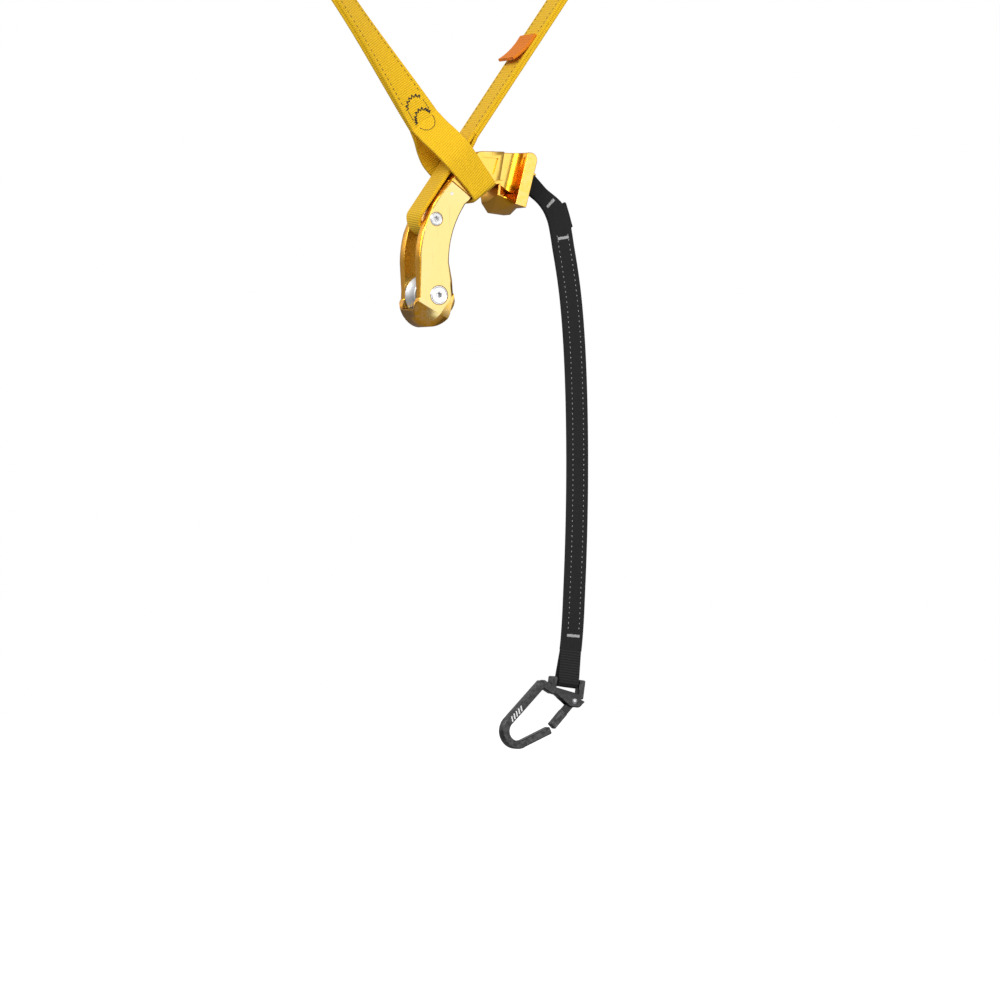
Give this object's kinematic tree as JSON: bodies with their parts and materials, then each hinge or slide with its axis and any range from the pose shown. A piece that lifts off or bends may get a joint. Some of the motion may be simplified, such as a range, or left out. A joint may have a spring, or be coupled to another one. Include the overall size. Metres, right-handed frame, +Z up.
{
  "type": "ascender",
  "caption": "Rope-pulley friction saver: two-cheek curved metal frame with a rope sheave, hung from a webbing sling, with a retrieval strap and small carabiner.",
  "frame": {"origin": "top of the limb that the sling hangs over, where the webbing's inner face rests on it", "axes": "+Z up, +Y along the sheave's axle from the front cheek to the rear cheek, +X from the arm towards the head"},
  "size_m": [0.1969, 0.032, 0.6037],
  "materials": {
    "anodised_frame": "satin gold anodised",
    "anodised_cheek": "satin gold anodised, machined face",
    "sheave_metal": "turned, bright",
    "bearing_steel": "ground",
    "bolt_steel": "turned, bright",
    "sling_webbing": "ribbed woven polyamide",
    "sling_thread": "black stitching",
    "strap_webbing": "flat woven, black",
    "strap_thread": "light grey stitching",
    "clip_body": "satin black anodised",
    "clip_gate": "satin black anodised"
  },
  "bodies": {
    "frame": {"frame_body": "anodised_frame", "front_cheek": "anodised_cheek", "cheek_dowel": "bolt_steel", "bearing_inner_rings": "bearing_steel", "sheave_washers": "bolt_steel", "axle_bolt": "bolt_steel", "axle_nut": "bolt_steel", "strap_bolt": "bolt_steel", "strap_bolt_nut": "bolt_steel", "strap_bush": "bolt_steel", "sling_webbing": "sling_webbing", "sling_bush_eye": "sling_webbing", "sling_neck_eye": "sling_webbing", "sling_pocket_flap": "sling_webbing", "sling_bartacks": "sling_thread"},
    "sheave": {"sheave": "sheave_metal", "bearing_outer_rings": "bearing_steel", "bearing_balls": "bearing_steel", "bearing_shields": "bearing_steel"},
    "retrieval_strap": {"retrieval_webbing": "strap_webbing", "retrieval_top_eye": "strap_webbing", "retrieval_pocket": "strap_webbing", "retrieval_bartacks": "strap_thread", "retrieval_lower_eye": "strap_webbing"},
    "carabiner": {"carabiner_body": "clip_body", "gate_rivet": "bolt_steel", "gate_spring": "bolt_steel"},
    "gate": {"carabiner_gate": "clip_gate"}
  },
  "joints": [
    {"name": "sheave_spin", "type": "hinge", "parent": "frame", "child": "sheave", "pos_m": [-0.013, 0, -0.326], "axis": [0, 1, 0], "continuous": true},
    {"name": "strap_swing", "type": "hinge", "parent": "frame", "child": "retrieval_strap", "pos_m": [0.0574, 0.01, -0.2546], "axis": [0.6428, 0, 0.766], "range_deg": [-30, 30]},
    {"name": "carabiner_swing", "type": "hinge", "parent": "retrieval_strap", "child": "carabiner", "pos_m": [0.0854, 0.01, -0.559], "axis": [0.9903, 0, -0.1392], "range_deg": [-60, 60]},
    {"name": "gate_swing", "type": "hinge", "parent": "carabiner", "child": "gate", "pos_m": [0.0894, 0.01, -0.5711], "axis": [0, 1, 0], "range_deg": [0, 28], "stiffness_Nm_per_rad": 0.01, "springref_deg": -17.19}
  ]
}
